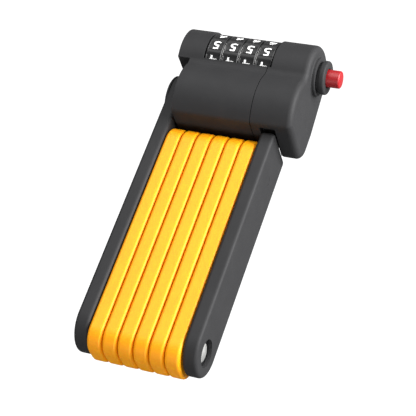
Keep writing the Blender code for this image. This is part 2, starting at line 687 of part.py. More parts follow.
def add_button(frame_left, frame_right):
    """The push button, its collar and spring, and the spindle and slider that it moves."""
    inside = HEAD_RIGHT - BODY_WALL + 0.6 * MM
    flange_face = BOSS_FACE - 0.5 * MM
    flange_back = flange_face - BUTTON_FLANGE_HEIGHT
    bore = BUTTON_RADIUS + 2 * RUNNING_GAP
    step = COLLAR_FACE - COLLAR_HEIGHT
    room = BUTTON_FLANGE_RADIUS + 2 * RUNNING_GAP
    soft = 0.7 * MM
    collar = [
        (COLLAR_FACE, bore),
        (COLLAR_FACE, COLLAR_RADIUS - soft),
        (COLLAR_FACE - soft, COLLAR_RADIUS),
        (step + soft / 2, COLLAR_RADIUS),
        (step, COLLAR_RADIUS - soft / 2),
        (step, COLLAR_SPIGOT_RADIUS),
        (inside, COLLAR_SPIGOT_RADIUS),
        (inside, room),
        (flange_face + SEAT_GAP, room),
        (flange_face + SEAT_GAP, bore),
    ]
    turned_ring("button_collar", collar, "head", "black_plastic", DIAL_Y, DIAL_Z, 28)
    dome = 0.6 * MM
    hole = SPINDLE_RADIUS + RUNNING_GAP
    deep = flange_face + 2 * MM
    button = [
        (BUTTON_TIP, 0),
        (BUTTON_TIP - dome / 4, BUTTON_RADIUS * 0.6),
        (BUTTON_TIP - dome, BUTTON_RADIUS - dome / 2),
        (BUTTON_TIP - 2 * dome, BUTTON_RADIUS),
        (flange_face, BUTTON_RADIUS),
        (flange_face, BUTTON_FLANGE_RADIUS),
        (flange_back, BUTTON_FLANGE_RADIUS),
        (flange_back, hole),
        (deep, hole),
        (deep, 0),
    ]
    turned("push_button", button, "button", "red_plastic", DIAL_Y, DIAL_Z, 24)
    disc(
        "spindle", SPINDLE_RADIUS, frame_left + 0.5 * MM, deep - SEAT_GAP,
        "button", "bright_steel", DIAL_Y, DIAL_Z, 20,
    )
    add_spring(frame_right + SEAT_GAP, flange_back - SEAT_GAP)
    add_slider()


def add_slider():
    """The plate that the spindle carries, and the bolt that it draws back from the right bar's tongue."""
    nose = layer_middle(RIGHT_LAYER) - CORE_THICKNESS / 2 - BOLT_SHORTFALL
    back = WINDOW_RIGHT + BUTTON_TRAVEL + 0.6 * MM
    front = nose - 8 * MM
    bar = rectangle(SLIDER_Y - PLATE, -PLATE, SLIDER_Y + PLATE, PLATE)
    slider = prism("latch_slider", bar, front, back + PLATE, "button", "dark_steel")
    join_arm(slider, (DIAL_Y, DIAL_Z), (SLIDER_Y + ARM_HALF_WIDTH - PLATE, 0), back, back + PLATE)
    join_prism(slider, rectangle(BOLT_Y - BOLT_RADIUS, -PLATE, SLIDER_Y, PLATE), front, front + PLATE)
    boolean(slider, disc("bolt", BOLT_RADIUS, front, nose, y=BOLT_Y, sides=16), "UNION")
    hole = SPINDLE_RADIUS + RUNNING_GAP
    cut_disc(slider, hole, back - MM, back + 2 * PLATE, DIAL_Y, DIAL_Z, sides=20)


def add_spring(low, high):
    """A helix as a curve with a round section, its ends closed."""
    curve = bpy.data.curves.new("button_spring", "CURVE")
    curve.dimensions = "3D"
    curve.bevel_depth = SPRING_WIRE_RADIUS
    curve.bevel_resolution = 0
    curve.use_fill_caps = True
    spline = curve.splines.new("POLY")
    per_turn = 12
    count = SPRING_TURNS * per_turn
    radius = SPINDLE_RADIUS + 1.2 * MM
    start, end = low + SPRING_WIRE_RADIUS, high - SPRING_WIRE_RADIUS
    spline.points.add(count)
    for i, point in enumerate(spline.points):
        angle = 2 * math.pi * i / per_turn
        x = start + (end - start) * i / count
        point.co = (radius * math.cos(angle), radius * math.sin(angle), x, 1)
    spring = bpy.data.objects.new("button_spring", curve)
    spring.rotation_euler = ACROSS
    parts.objects.link(spring)
    spring.parent = bodies["head"]
    spring.location = Vector((0, DIAL_Y, DIAL_Z)) - bodies["head"].location
    curve.materials.append(materials["bright_steel"])


# ---------------------------------------------------------------- the object


def add_bodies():
    for number in range(1, LINK_COUNT + 1):
        hinge = 0.0 if number % 2 == 0 else LINK_LENGTH
        add_body(f"link_{number}", hinge, 0.0)
    add_body("right_bar", 0.0, 0.0)
    add_body("left_bar", 0.0, 0.0)
    add_body("head", PIVOT_Y, 0.0)
    add_body("button", DIAL_Y, DIAL_Z)
    for number in range(1, DIAL_COUNT + 1):
        add_body(f"dial_{number}", DIAL_Y, DIAL_Z)


def move_to_origin():
    """Puts the middle of the bounding box, at its lowest point, on the origin."""
    left = layer_middle(0) - LAYER_THICKNESS / 2 - SEAT_GAP - PIVOT_CAP_HEIGHT
    front, back = -SLEEVE_END, HOUSING[0] + HOUSING_RADIUS
    offset = Vector(((left + BUTTON_TIP) / 2, (front + back) / 2, BOTTOM))
    for made in bpy.data.objects:
        if made.parent is None:
            made.location = made.location - offset
    print("origin in the drawing frame, mm:", [round(v * 1000, 3) for v in offset])


def main():
    add_bodies()
    add_left_bar()
    for number in range(1, LINK_COUNT + 1):
        add_link(number)
    add_right_bar()
    block_face = add_hinges()
    add_left_casing()
    add_right_casing()
    frame_left, frame_right = add_lock_frame(block_face)
    add_screws()
    add_dials()
    add_detent_spring()
    add_button(frame_left, frame_right)
    move_to_origin()


main()
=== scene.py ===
import json
import math

import bpy
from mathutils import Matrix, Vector


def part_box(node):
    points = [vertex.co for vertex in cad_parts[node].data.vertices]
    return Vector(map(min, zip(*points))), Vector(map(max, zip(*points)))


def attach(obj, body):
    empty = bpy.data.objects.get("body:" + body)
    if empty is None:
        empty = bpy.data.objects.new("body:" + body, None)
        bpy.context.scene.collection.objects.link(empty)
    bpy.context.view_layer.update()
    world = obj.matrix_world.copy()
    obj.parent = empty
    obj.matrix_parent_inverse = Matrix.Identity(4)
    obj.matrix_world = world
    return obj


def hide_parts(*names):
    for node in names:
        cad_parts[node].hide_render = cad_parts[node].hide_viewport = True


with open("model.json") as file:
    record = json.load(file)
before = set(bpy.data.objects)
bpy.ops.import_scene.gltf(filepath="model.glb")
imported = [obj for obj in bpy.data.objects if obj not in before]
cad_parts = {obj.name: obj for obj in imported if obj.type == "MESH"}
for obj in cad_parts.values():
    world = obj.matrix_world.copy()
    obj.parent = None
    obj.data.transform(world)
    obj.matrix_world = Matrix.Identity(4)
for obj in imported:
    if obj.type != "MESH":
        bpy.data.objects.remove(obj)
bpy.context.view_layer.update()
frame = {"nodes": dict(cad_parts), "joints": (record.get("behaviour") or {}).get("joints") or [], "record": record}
mm = 0.001
joints = {joint["name"]: Vector(joint["pos_m"]) for joint in frame["joints"] if joint["type"] == "hinge"}
frontHinge, backHinge = joints["fold"], joints["hinge_65"]
headPivot, dialAxis = joints["head_pivot"], joints["dial_turn_1"]
barMiddle = frontHinge.z
print("frame loaded:", len(frame["nodes"]), "nodes")


# Camera and stage

cameraSpot = dict(place=(0.200925, -0.2706, 0.508), turn=(32.124, 12.216, 18.808), lens=119.3, sensor=36)
cameraData = bpy.data.cameras.new("studioCamera")
cameraData.lens = cameraSpot["lens"]
cameraData.sensor_width = cameraSpot["sensor"]
camera = bpy.data.objects.new("studioCamera", cameraData)
camera.location = cameraSpot["place"]
camera.rotation_euler = [math.radians(angle) for angle in cameraSpot["turn"]]
bpy.context.scene.collection.objects.link(camera)
bpy.context.scene.camera = camera
bpy.context.scene.view_settings.view_transform = "Standard"  # plain colours, as in a catalogue


# sRGB hex to the linear value that a shader takes.
def linearColour(code):
    shares = [int(code[start:start + 2], 16) / 255 for start in (1, 3, 5)]
    return tuple(s / 12.92 if s <= 0.04045 else ((s + 0.055) / 1.055) ** 2.4 for s in shares) + (1.0,)


def addNode(tree, kind, settings=None, values=None, links=None):
    node = tree.nodes.new(kind)
    for key, value in (settings or {}).items():
        setattr(node, key, value)
    for key, value in (values or {}).items():
        node.inputs[key].default_value = value
    for key, source in (links or {}).items():
        tree.links.new(source, node.inputs[key])
    return node


def emptyMaterial(name):
    material = bpy.data.materials.new(name)
    material.use_nodes = True
    material.node_tree.nodes.clear()
    return material, material.node_tree


# White seamless paper. The camera sees it lit through, and it throws only a little light back up.
def paperFloor():
    look = dict(white="#FFFFFF", glow=1.15, bounce="#7A7A7A")
    material, tree = emptyMaterial("whitePaper")
    glow = addNode(
        tree, "ShaderNodeEmission", values={"Color": linearColour(look["white"]), "Strength": look["glow"]},
    )
    matt = addNode(tree, "ShaderNodeBsdfDiffuse", values={"Color": linearColour(look["bounce"])})
    ray = addNode(tree, "ShaderNodeLightPath")
    both = addNode(
        tree, "ShaderNodeMixShader",
        links={0: ray.outputs["Is Camera Ray"], 1: matt.outputs[0], 2: glow.outputs[0]},
    )
    addNode(tree, "ShaderNodeOutputMaterial", links={"Surface": both.outputs[0]})
    return material


def addSoftbox(name, place, aim, size, watts):
    light = bpy.data.lights.new(name, "AREA")
    light.shape = "RECTANGLE"
    light.size, light.size_y = size
    light.energy = watts
    box = bpy.data.objects.new(name, light)
    box.location = place
    box.rotation_euler = (Vector(aim) - Vector(place)).to_track_quat("-Z", "Y").to_euler()
    bpy.context.scene.collection.objects.link(box)


studio = dict(floorSize=8.0, floorDrop=0.3 * mm, worldGrey="#FFFFFF", worldStrength=0.24)
softboxes = dict(
    overheadBox=dict(place=(-0.25, 0.35, 0.75), aim=(0, 0, 0), size=(0.7, 0.7), watts=5.6),
    sideBox=dict(place=(0.75, 0.25, 0.30), aim=(0, 0.02, 0.01), size=(0.6, 0.4), watts=23),
    frontBox=dict(place=(0.15, -0.95, 0.40), aim=(0, 0, 0), size=(0.6, 0.4), watts=5),
)
bpy.ops.object.select_all(action="DESELECT")
bpy.ops.mesh.primitive_plane_add(size=studio["floorSize"], location=(0, 0, -studio["floorDrop"]))
floor = bpy.context.object
floor.name = "paperFloor"
floor.data.materials.append(paperFloor())
world = bpy.data.worlds.new("studio")
world.use_nodes = True
world.node_tree.nodes["Background"].inputs["Color"].default_value = linearColour(studio["worldGrey"])
world.node_tree.nodes["Background"].inputs["Strength"].default_value = studio["worldStrength"]
bpy.context.scene.world = world
for name, settings in softboxes.items():
    addSoftbox(name, **settings)
print("camera, floor and lights in place")


# Materials

# One surface: cloudy colour, uneven gloss and a fine grain, each at its real size in millimetres.
def surfaceMaterial(name, look):
    material, tree = emptyMaterial(name)
    place = addNode(tree, "ShaderNodeTexCoord").outputs["Object"]
    stretch = look.get("stretch", (1, 1, 1))  # under 1 draws the grain out along that axis
    stretched = addNode(tree, "ShaderNodeMapping", values={"Scale": stretch}, links={"Vector": place})
    cloud = addNode(
        tree, "ShaderNodeTexNoise", values={"Scale": 1 / (look["cloudMm"] * mm), "Detail": 4.0},
        links={"Vector": place},
    )
    grain = addNode(
        tree, "ShaderNodeTexNoise", values={"Scale": 1 / (look["grainMm"] * mm), "Detail": 3.0},
        links={"Vector": stretched.outputs[0]},
    )
    colour = addNode(
        tree, "ShaderNodeMix", settings={"data_type": "RGBA"},
        values={6: linearColour(look["dark"]), 7: linearColour(look["light"])}, links={0: cloud.outputs[0]},
    )
    gloss = addNode(
        tree, "ShaderNodeMapRange", values={1: 0.3, 2: 0.7, 3: look["roughness"][0], 4: look["roughness"][1]},
        links={0: grain.outputs[0]},
    )
    relief = addNode(
        tree, "ShaderNodeBump", values={"Strength": look["relief"], "Distance": look["reliefMm"] * mm},
        links={"Height": grain.outputs[0]},
    )
    shader = addNode(
        tree, "ShaderNodeBsdfPrincipled", values=look["shader"],
        links={"Base Color": colour.outputs[2], "Roughness": gloss.outputs[0], "Normal": relief.outputs[0]},
    )
    addNode(tree, "ShaderNodeOutputMaterial", links={"Surface": shader.outputs[0]})
    return material


# Black ABS from a spark-eroded mould: nearly matt, with a fine even grain that greys where light grazes it.
mouldedAbs = surfaceMaterial("mouldedAbs", dict(
    dark="#272728", light="#2F2F30", cloudMm=9.0, grainMm=0.35, roughness=(0.55, 0.68), relief=0.25, reliefMm=0.05,
    shader={"IOR": 1.52, "Metallic": 0.0, "Specular IOR Level": 0.15},
))
# Silicone coating over steel: satin, soft, and slightly translucent, so that light warms in the joints between links.
siliconeCoating = surfaceMaterial("siliconeCoating", dict(
    dark="#F29A00", light="#F6A206", cloudMm=14.0, grainMm=0.5, roughness=(0.45, 0.56), relief=0.12, reliefMm=0.04,
    shader={
        "IOR": 1.43, "Metallic": 0.0, "Specular IOR Level": 0.4,
        "Subsurface Weight": 0.25, "Subsurface Radius": (1.0, 0.45, 0.05), "Subsurface Scale": 3.0 * mm,
    },
))
# Red ABS from a polished mould: smooth, with a soft highlight.
polishedRedAbs = surfaceMaterial("polishedRedAbs", dict(
    dark="#8A070E", light="#960C14", cloudMm=5.0, grainMm=0.3, roughness=(0.38, 0.48), relief=0.06, reliefMm=0.02,
    shader={"IOR": 1.52, "Metallic": 0.0},
))
# Black acetal dials: harder and glossier than the casings.
acetalDial = surfaceMaterial("acetalDial", dict(
    dark="#141415", light="#1C1C1D", cloudMm=4.0, grainMm=0.25, roughness=(0.38, 0.5), relief=0.1, reliefMm=0.02,
    shader={"IOR": 1.48, "Metallic": 0.0, "Specular IOR Level": 0.35},
))
# White printing paint, thick enough to stand proud: flat white with a slightly uneven face.
printingPaint = surfaceMaterial("printingPaint", dict(
    dark="#F4F4F2", light="#FFFFFF", cloudMm=2.0, grainMm=0.2, roughness=(0.4, 0.55), relief=0.1, reliefMm=0.02,
    shader={"IOR": 1.5, "Metallic": 0.0},
))
# Nickel-plated steel, turned and tumbled: a satin white, with fine marks round its axis.
platedSteel = surfaceMaterial("platedSteel", dict(
    dark="#D4D4D2", light="#EDEDEA", cloudMm=3.0, grainMm=0.5, stretch=(6, 1, 1), roughness=(0.42, 0.55),
    relief=0.1, reliefMm=0.02, shader={"Metallic": 1.0},
))
# Hardened steel strip, as rolled and blackened: dark, drawn out along its length.
hardenedSteel = surfaceMaterial("hardenedSteel", dict(
    dark="#4A4A4C", light="#626264", cloudMm=6.0, grainMm=0.4, stretch=(1, 0.12, 1), roughness=(0.32, 0.5),
    relief=0.15, reliefMm=0.02, shader={"Metallic": 1.0},
))
slotMaterials = dict(
    black_plastic=mouldedAbs, yellow_coating=siliconeCoating, red_plastic=polishedRedAbs,
    bright_steel=platedSteel, dark_steel=hardenedSteel, dial_plastic=acetalDial,
)
for part in frame["record"]["subparts"]:
    for slot in frame["nodes"][part["node"]].material_slots:
        slot.material = slotMaterials[part["material_slot"]]
print("materials made:", len(slotMaterials) + 1)


# Modelling helpers. Every outline is a list of (y, z) points, and low and high are places across the stack of bars.

def selectOnly(piece):
    bpy.ops.object.select_all(action="DESELECT")
    piece.select_set(True)
    bpy.context.view_layer.objects.active = piece


def arcPoints(centre, radius, start, end, steps):
    turns = [math.radians(start + (end - start) * step / steps) for step in range(steps + 1)]
    return [(centre[0] + radius * math.cos(around), centre[1] + radius * math.sin(around)) for around in turns]


def roundPoints(centre, radius, sides):
    return arcPoints(centre, radius, 0, 360, sides)[:-1]


def boxPoints(yLow, zLow, yHigh, zHigh):
    return [(yLow, zLow), (yHigh, zLow), (yHigh, zHigh), (yLow, zHigh)]


# A filled ring of points, moved to the outline and extruded across the stack.
def slab(name, outline, low, high):
    bpy.ops.object.select_all(action="DESELECT")
    bpy.ops.mesh.primitive_circle_add(vertices=len(outline), fill_type="NGON")
    piece = bpy.context.object
    piece.name = piece.data.name = name
    for vertex, (y, z) in zip(piece.data.vertices, outline):
        vertex.co = (low, y, z)
    bpy.ops.object.mode_set(mode="EDIT")
    bpy.ops.mesh.select_all(action="SELECT")
    bpy.ops.mesh.extrude_region_move(TRANSFORM_OT_translate={"value": (high - low, 0, 0)})
    bpy.ops.mesh.select_all(action="SELECT")
    bpy.ops.mesh.remove_doubles(threshold=1e-6)
    bpy.ops.mesh.normals_make_consistent(inside=False)
    bpy.ops.object.mode_set(mode="OBJECT")
    return piece


# Opens the piece in edit mode with only the edges selected that pass the test.
def selectEdges(piece, test):
    selectOnly(piece)
    bpy.ops.object.mode_set(mode="EDIT")
    bpy.ops.mesh.select_mode(type="EDGE")
    bpy.ops.mesh.select_all(action="DESELECT")
    bpy.ops.object.mode_set(mode="OBJECT")
    for edge in piece.data.edges:
        edge.select = test(edge)
    bpy.ops.object.mode_set(mode="EDIT")


# Bevels the edges that lie in the plane at x.
def roundRim(piece, x, width, segments):
    points = piece.data.vertices
    selectEdges(piece, lambda edge: all(abs(points[end].co.x - x) < 1e-6 for end in edge.vertices))
    bpy.ops.mesh.bevel(offset=width, segments=segments, profile=0.5, affect="EDGES", clamp_overlap=False)
    bpy.ops.object.mode_set(mode="OBJECT")


def applyStep(piece, kind, **settings):
    step = piece.modifiers.new(kind.lower(), kind)
    for key, value in settings.items():
        setattr(step, key, value)
    selectOnly(piece)
    bpy.ops.object.modifier_apply(modifier=step.name)


def combine(piece, other, operation="DIFFERENCE"):
    applyStep(piece, "BOOLEAN", operation=operation, solver="EXACT", object=other)
    bpy.data.objects.remove(other)


# A profile of (x, radius) points turned about the line through centre, across the stack. An open one ends on the line.
def turn(name, profile, centre, steps=64, closed=False):
    bpy.ops.object.select_all(action="DESELECT")
    bpy.ops.mesh.primitive_circle_add(vertices=len(profile), fill_type="NOTHING")
    piece = bpy.context.object
    piece.name = piece.data.name = name
    for vertex, (x, radius) in zip(piece.data.vertices, profile):
        vertex.co = (x, centre[0], centre[1] + radius)
    if closed:
        bpy.ops.object.mode_set(mode="EDIT")
    else:
        ends = {0, len(profile) - 1}
        selectEdges(piece, lambda edge: set(edge.vertices) == ends)
        bpy.ops.mesh.delete(type="EDGE")
    bpy.ops.mesh.select_mode(type="VERT")
    bpy.ops.mesh.select_all(action="SELECT")
    bpy.ops.mesh.spin(steps=steps, angle=2 * math.pi, center=(0, centre[0], centre[1]), axis=(1, 0, 0))
    bpy.ops.mesh.select_all(action="SELECT")
    bpy.ops.mesh.remove_doubles(threshold=2e-6)
    bpy.ops.mesh.normals_make_consistent(inside=False)
    bpy.ops.object.mode_set(mode="OBJECT")
    return piece


# Shades the piece, gives it its finish, and puts it on its body in place of the nodes it stands for.
def finishPiece(piece, body, material, slot, *nodes, smooth=32):
    selectOnly(piece)
    bpy.ops.object.shade_smooth_by_angle(angle=math.radians(smooth))
    applyStep(piece, "WEIGHTED_NORMAL", keep_sharp=True)
    piece.data.materials.clear()
    piece.data.materials.append(material)
    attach(piece, body)
    if nodes:
        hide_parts(*nodes)
    return piece


def copyPiece(piece, name, shift):
    copy = piece.copy()
    copy.data = piece.data.copy()
    copy.name = copy.data.name = name
    bpy.context.scene.collection.objects.link(copy)
    for vertex in copy.data.vertices:
        vertex.co = vertex.co + Vector(shift)
    return copy


# A node's lowest and highest corners, and its middle.
def boxOf(node):
    low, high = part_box(node)
    return low, high, (low + high) / 2


# A rounded corner of a turned profile, at the given angles from the piece's axis.
def softCorner(x, radius, soft, angles):
    turns = [math.radians(angle) for angle in angles]
    return [(x - soft + soft * math.cos(around), radius - soft + soft * math.sin(around)) for around in turns]


# Coated links

linkShape = dict(
    cornerRadius=9.0 * mm, edgeRound=1.35 * mm, openingRadius=6.0 * mm, lipWidth=0.8 * mm, lipDepth=0.25 * mm,
)
corePocket = dict(halfWidth=9.0 * mm, halfThickness=1.5 * mm)
past = 1.0 * mm  # how far a cutter runs past the faces that it cuts


# The room inside a bar for its steel core.
def barPocket(front, back, middle):
    outline = arcPoints((front, barMiddle), corePocket["halfWidth"], 90, 270, 16)
    outline += arcPoints((back, barMiddle), corePocket["halfWidth"], -90, 90, 16)
    return slab("pocket", outline, middle - corePocket["halfThickness"], middle + corePocket["halfThickness"])


def linkSleeve():
    low, high, middle = boxOf("link_sleeve_1")
    corner = linkShape["cornerRadius"]
    outline = []
    corners = ((high.y, high.z), (low.y, high.z), (low.y, low.z), (high.y, low.z))
    for quarter, (y, z) in enumerate(corners):
        centre = (y - corner if y > middle.y else y + corner, z - corner if z > middle.z else z + corner)
        outline += arcPoints(centre, corner, 90 * quarter, 90 * quarter + 90, 10)
    sleeve = slab("linkSleeve", outline, low.x, high.x)
    for x in (low.x, high.x):
        roundRim(sleeve, x, linkShape["edgeRound"], 6)
    combine(sleeve, barPocket(frontHinge.y, backHinge.y, middle.x))
    for hinge in (frontHinge, backHinge):
        spot = (hinge.y, hinge.z)
        opening = roundPoints(spot, linkShape["openingRadius"], 48)
        combine(sleeve, slab("opening", opening, low.x - past, high.x + past))
        lip, depth = linkShape["openingRadius"] + linkShape["lipWidth"], linkShape["lipDepth"]
        for start, end in ((low.x - past, low.x + depth), (high.x - depth, high.x + past)):
            combine(sleeve, slab("lip", roundPoints(spot, lip, 48), start, end))
    return sleeve


firstSleeve = linkSleeve()
layerPitch = boxOf("link_sleeve_2")[2].x - boxOf("link_sleeve_1")[2].x
for number in range(1, 7):
    sleeve = copyPiece(firstSleeve, f"coated_link_{number}", (layerPitch * (number - 1), 0, 0))
    finishPiece(sleeve, f"link_{number}", siliconeCoating, "yellow_coating", f"link_sleeve_{number}")
bpy.data.objects.remove(firstSleeve)
print("six coated links made")


# End bars

coverShape = dict(
    radius=12.0 * mm, edgeRound=1.5 * mm, squareCorner=2.0 * mm, openingRadius=6.0 * mm, tongueSlot=3.6 * mm,
)
ejectorMark = dict(setback=4.5 * mm, radius=1.9 * mm, depth=0.06 * mm)  # where a pin pushed the moulding out


# A cover with a round front end, room for its core, and a hole over each hinge.
def coverBar(name, node, backOutline, openings):
    low, high, middle = boxOf(node)
    radius = coverShape["radius"]
    front = arcPoints((low.y + radius, middle.z), radius, 90, 270, 32)
    bar = slab(name, front + backOutline, low.x, high.x)
    for x in (low.x, high.x):
        roundRim(bar, x, coverShape["edgeRound"], 5)
    coreEnd = openings[-1][0] if len(openings) > 1 else backHinge.y
    combine(bar, barPocket(openings[0][0], coreEnd, middle.x))
    for spot in openings:
        hole = roundPoints(spot, coverShape["openingRadius"], 48)
        combine(bar, slab("opening", hole, low.x - past, high.x + past))
    return bar


def endBars():
    radius, corner = coverShape["radius"], coverShape["squareCorner"]
    front, back = (frontHinge.y, frontHinge.z), (headPivot.y, headPivot.z)
    leftBack = arcPoints(back, radius, -90, 90, 32)
    left = coverBar("leftBarCover", "left_bar_cover", leftBack, [front, back])
    finishPiece(left, "left_bar", mouldedAbs, "black_plastic", "left_bar_cover")
    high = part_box("right_bar_cover")[1]
    rightBack = arcPoints((high.y - corner, barMiddle - radius + corner), corner, -90, 0, 5)
    rightBack += arcPoints((high.y - corner, high.z - corner), corner, 0, 90, 5)
    right = coverBar("rightBarCover", "right_bar_cover", rightBack, [front])
    core = boxOf("right_bar_core")[2]
    half = coverShape["tongueSlot"]
    slot = boxPoints(backHinge.y, barMiddle - half, high.y + past, barMiddle + half)
    combine(right, slab("slot", slot, core.x - corePocket["halfThickness"], core.x + corePocket["halfThickness"]))
    mark = roundPoints((backHinge.y - ejectorMark["setback"], barMiddle), ejectorMark["radius"], 32)
    combine(right, slab("mark", mark, high.x - ejectorMark["depth"], high.x + past))
    finishPiece(right, "right_bar", mouldedAbs, "black_plastic", "right_bar_cover")


endBars()
print("end bars made")


# Hinges

rivetShape = dict(
    shank=3.0 * mm, head=4.2 * mm, height=1.0 * mm,
    dome=[(0, 1.0), (0.12, 0.95), (0.38, 0.8), (0.66, 0.62), (0.87, 0.4), (0.97, 0.18)],  # shares of radius and height
)


# A rivet closed to a dome at both ends.
def domedRivet(name, node):
    low, high, middle = boxOf(node)
    shank, head, height, dome = rivetShape["shank"], rivetShape["head"], rivetShape["height"], rivetShape["dome"]
    profile = [(high.x - height * (1 - rise), head * out) for out, rise in dome]
    profile += [(high.x - height, head), (high.x - height, shank)]
    profile += [(low.x + height, shank), (low.x + height, head)]
    profile += [(low.x + height * (1 - rise), head * out) for out, rise in reversed(dome)]
    return turn(name, profile, (middle.y, middle.z), 48)


capShape = dict(
    rim=[(0, 1.6), (0.08, 1.0), (0.25, 0.5), (0.55, 0.12), (0.75, 0)],  # mm in from the face and from the edge
    seat=0.15 * mm, spigot=5.7 * mm,
)


# The round cap over the pivot, slightly crowned, with a spigot in the cover's opening.
def pivotCap():
    low, high, middle = boxOf("pivot_cap")
    radius, seat, spigot = (high.y - low.y) / 2, high.x - capShape["seat"], capShape["spigot"]
    profile = [(low.x, 0)] + [(low.x + rise * mm, radius - inward * mm) for rise, inward in capShape["rim"]]
    profile += [(seat, radius), (seat, spigot), (high.x, spigot), (high.x, 0)]
    cap = turn("pivotCap", profile, (middle.y, middle.z), 72)
    finishPiece(cap, "left_bar", mouldedAbs, "black_plastic", "pivot_cap")


for number in range(1, 8):
    node = f"hinge_rivet_{number}"
    body = "right_bar" if number == 7 else f"link_{number}"
    finishPiece(domedRivet(f"domed_rivet_{number}", node), body, platedSteel, "bright_steel", node)
pivotCap()
print("rivets and pivot cap made")


# Lock head casings

headShape = dict(
    topRadius=18.3 * mm, topHeight=23.5 * mm, topSetback=13.8 * mm, valleyRadius=5.0 * mm, footRadius=8.0 * mm,
    browRadius=3.0 * mm, footLength=16.0 * mm, housingRadius=15.3 * mm, housingSetback=34.6 * mm,
    housingHeight=6.2 * mm, wall=2.0 * mm, leftRound=1.2 * mm, rightRound=2.6 * mm, overhang=5.9 * mm,
    overhangCut=11.0 * mm, pivotSweep=12.6 * mm, boss=1.6 * mm,
)
dialRoom = dict(radius=13.15 * mm, windowFrom=5.0, windowTo=119.0, reach=30 * mm, endGap=0.5 * mm)
barNotch = dict(depth=2.6 * mm, height=14.8 * mm, side=0.3 * mm, lining=1.6 * mm)  # for the right bar's end
tongueSlot = dict(gap=1.3 * mm, height=6.2 * mm, half=1.3 * mm)
spindleRoom = dict(radius=2.8 * mm, travel=4.3 * mm)  # the spindle moves left as the button is pressed
beyond = 100 * mm  # a cutter larger than the head
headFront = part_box("right_casing")[0].y
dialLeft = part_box("dial_1")[0].x - dialRoom["endGap"]
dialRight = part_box("dial_4")[1].x + dialRoom["endGap"]


def bearing(start, end):
    return math.degrees(math.atan2(end[1] - start[1], end[0] - start[0]))


# The upper of the two points where two circles cross.
def upperCrossing(first, firstRadius, second, secondRadius):
    dy, dz = second[0] - first[0], second[1] - first[1]
    apart = math.hypot(dy, dz)
    along = (apart**2 + firstRadius**2 - secondRadius**2) / (2 * apart)
    aside = math.sqrt(firstRadius**2 - along**2)
    return first[0] + (dy * along - dz * aside) / apart, first[1] + (dz * along + dy * aside) / apart


# The head's section: a round-topped body, a valley and the dials' round housing, and a flat foot.
def headOutline(inset=0.0):
    shape = headShape
    front, bottom = headFront + inset, inset
    top = (headFront + shape["topSetback"], barMiddle + shape["topHeight"] - shape["topRadius"])
    housing = (headFront + shape["housingSetback"], barMiddle + shape["housingHeight"])
    topRadius, housingRadius = shape["topRadius"] - inset, shape["housingRadius"] - inset
    valleyRadius = shape["valleyRadius"] + inset
    foot, brow = shape["footRadius"] - inset, max(shape["browRadius"] - inset, 0.6 * mm)
    outline = arcPoints((front + foot, bottom + foot), foot, 180, 270, 10)
    heel = (headFront + shape["footLength"], bottom)
    outline.append(heel)
    rise = bearing(heel, housing) - math.degrees(math.asin(housingRadius / math.dist(housing, heel)))
    valley = upperCrossing(top, topRadius + valleyRadius, housing, housingRadius + valleyRadius)
    outline += arcPoints(housing, housingRadius, rise - 90, bearing(housing, valley), 48)
    outline += arcPoints(valley, valleyRadius, bearing(valley, housing), bearing(valley, top) % 360 - 360, 12)[1:]
    browY = front + brow
    browZ = top[1] + math.sqrt((topRadius - brow) ** 2 - (browY - top[0]) ** 2)
    start = bearing(top, (browY, browZ))
    outline += arcPoints(top, topRadius, bearing(top, valley), start, 28)[1:]
    outline += arcPoints((browY, browZ), brow, start, 180, 8)[1:]
    return outline


# The dials' round room, and the window over them.
def cutDialRoom(casing):
    spot = (dialAxis.y, dialAxis.z)
    combine(casing, slab("room", roundPoints(spot, dialRoom["radius"], 96), dialLeft, dialRight))
    window = [spot] + arcPoints(spot, dialRoom["reach"], dialRoom["windowFrom"], dialRoom["windowTo"], 6)
    combine(casing, slab("window", window, dialLeft, dialRight))


# The half that turns on the left bar, with its overhang cut back to clear the bar as the head swings.
def leftCasing():
    low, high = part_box("left_casing")
    bodyLeft, seamSpare, sweep = low.x + headShape["overhang"], high.x + 5 * mm, headShape["pivotSweep"]
    casing = slab("leftCasing", headOutline(), low.x, seamSpare)
    block = boxPoints(-beyond, -beyond, headPivot.y + headShape["overhangCut"], beyond)
    combine(casing, slab("frontBlock", block, low.x - past, bodyLeft))
    applyStep(
        casing, "BEVEL", width=headShape["leftRound"], segments=4, limit_method="ANGLE", angle_limit=math.radians(40),
    )
    disc = roundPoints((headPivot.y, headPivot.z), sweep, 96)
    combine(casing, slab("sweep", disc, low.x - past, bodyLeft))
    below = boxPoints(headPivot.y, -beyond, headPivot.y + sweep, headPivot.z)
    combine(casing, slab("sweep", below, low.x - past, bodyLeft))
    combine(casing, slab("seam", boxPoints(-beyond, -beyond, beyond, beyond), high.x, high.x + 20 * mm))
    combine(casing, slab("hollow", headOutline(headShape["wall"]), bodyLeft + headShape["wall"], seamSpare))
    cutDialRoom(casing)
    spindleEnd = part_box("spindle")[0].x - spindleRoom["travel"]
    bore = roundPoints((dialAxis.y, dialAxis.z), spindleRoom["radius"], 40)
    combine(casing, slab("spindleRoom", bore, spindleEnd, dialLeft + past))
    finishPiece(casing, "head", mouldedAbs, "black_plastic", "left_casing")


collarSeat = dict(radius=8.7 * mm, sweep=0.6 * mm, bore=6.65 * mm)


# The raised seat of the button's collar, with a hollow sweep where it meets the end face.
def bossProfile(face):
    radius, sweep, top = collarSeat["radius"], collarSeat["sweep"], face + headShape["boss"]
    profile = [(face - past, 0), (face - past, radius + sweep), (face, radius + sweep)]
    for step in range(1, 7):
        around = math.radians(15 * step)
        profile.append((face + sweep * (1 - math.cos(around)), radius + sweep * (1 - math.sin(around))))
    profile += [(top - 0.5 * mm, radius), (top - 0.15 * mm, radius - 0.12 * mm), (top, radius - 0.5 * mm)]
    return profile + [(top, 0)]


